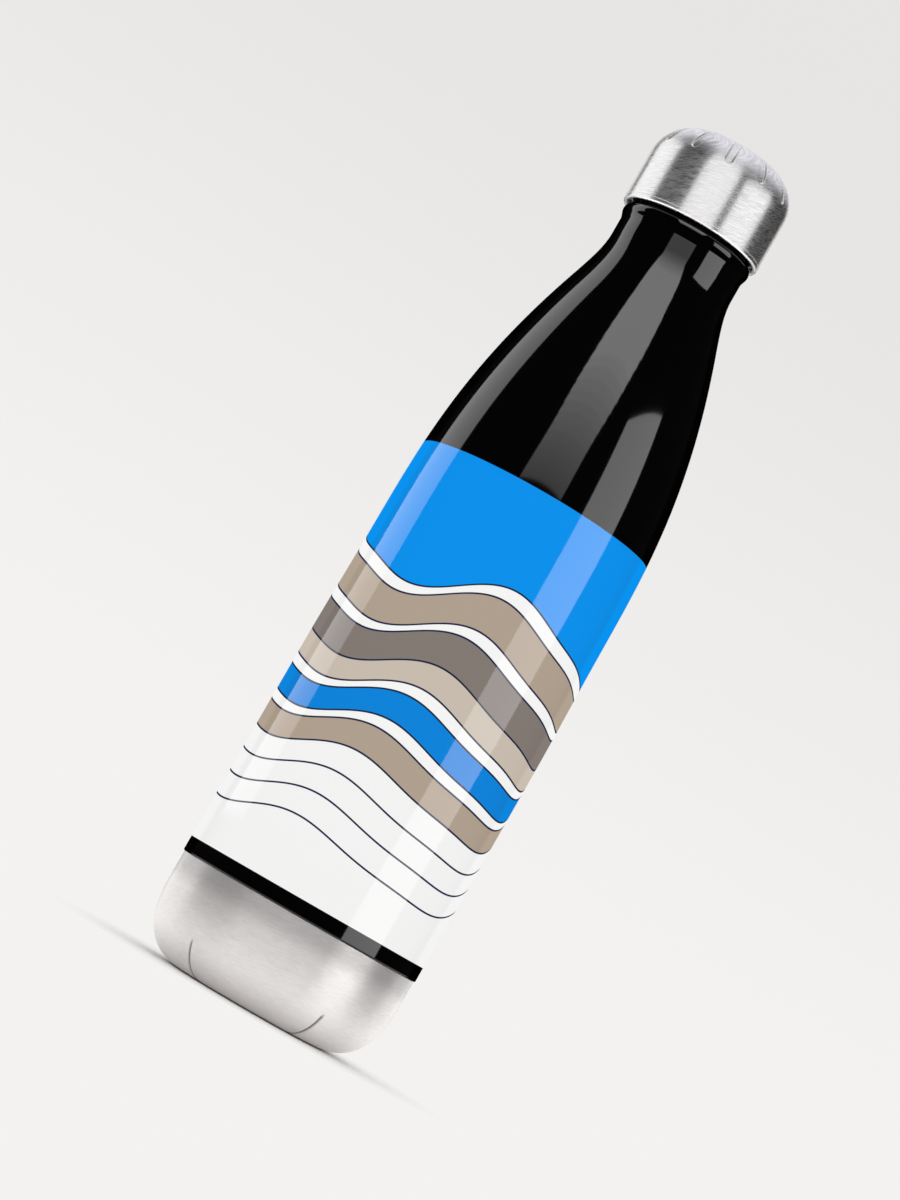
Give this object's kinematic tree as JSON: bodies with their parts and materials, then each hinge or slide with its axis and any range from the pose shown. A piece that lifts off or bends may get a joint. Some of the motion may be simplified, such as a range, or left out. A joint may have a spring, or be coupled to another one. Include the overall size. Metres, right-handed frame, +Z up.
{
  "type": "insulated water bottle",
  "caption": "Double-wall vacuum bottle of stainless steel with a long drawn-in shoulder and a domed screw cap whose threaded foam-filled stopper seals on a silicone gasket.",
  "frame": {"origin": "centre of the plane that the foot ring stands on", "axes": "+Z up along the bottle's axis, towards the cap"},
  "size_m": [0.0708, 0.0708, 0.2662],
  "materials": {
    "painted_wall": "glossy black paint with a printed band under clear coat",
    "base_steel": "fine turned brushing",
    "liner_steel": "electropolished",
    "cap_steel": "fine brushing round the cap",
    "copper_foil": "bright copper foil",
    "getter_metal": "sintered grey",
    "seal_glass": "fused solder glass, opaque",
    "cap_plastic": "moulded polypropylene, satin",
    "pad_foam": "closed-cell foam",
    "silicone": "translucent white silicone"
  },
  "bodies": {
    "bottle": {"outer_shell": "painted_wall", "base_cup": "base_steel", "vacuum_seal": "seal_glass", "base_cover": "base_steel", "inner_liner": "liner_steel", "liner_bottom": "liner_steel", "liner_foil": "copper_foil", "getter_pill": "getter_metal", "getter_clip": "liner_steel"},
    "gasket": {"mouth_gasket": "silicone"},
    "cap": {"cap_shell": "cap_steel", "cap_pad": "pad_foam", "inner_cap": "cap_plastic", "stopper_plug": "cap_plastic", "stopper_end": "cap_plastic", "stopper_foam": "pad_foam"}
  },
  "joints": [
    {"name": "cap_rise", "type": "slide", "parent": "bottle", "child": "gasket", "axis": [0, 0, 1], "range_m": [0, 0.0281]},
    {"name": "cap_turn", "type": "hinge", "parent": "gasket", "child": "cap", "pos_m": [0, 0, 0.248], "axis": [0, 0, 1], "range_deg": [0, 2520]}
  ],
  "couplings": [
    {"joint": "cap_rise", "follows": "cap_turn", "m_per_rad": 0.00063662}
  ]
}
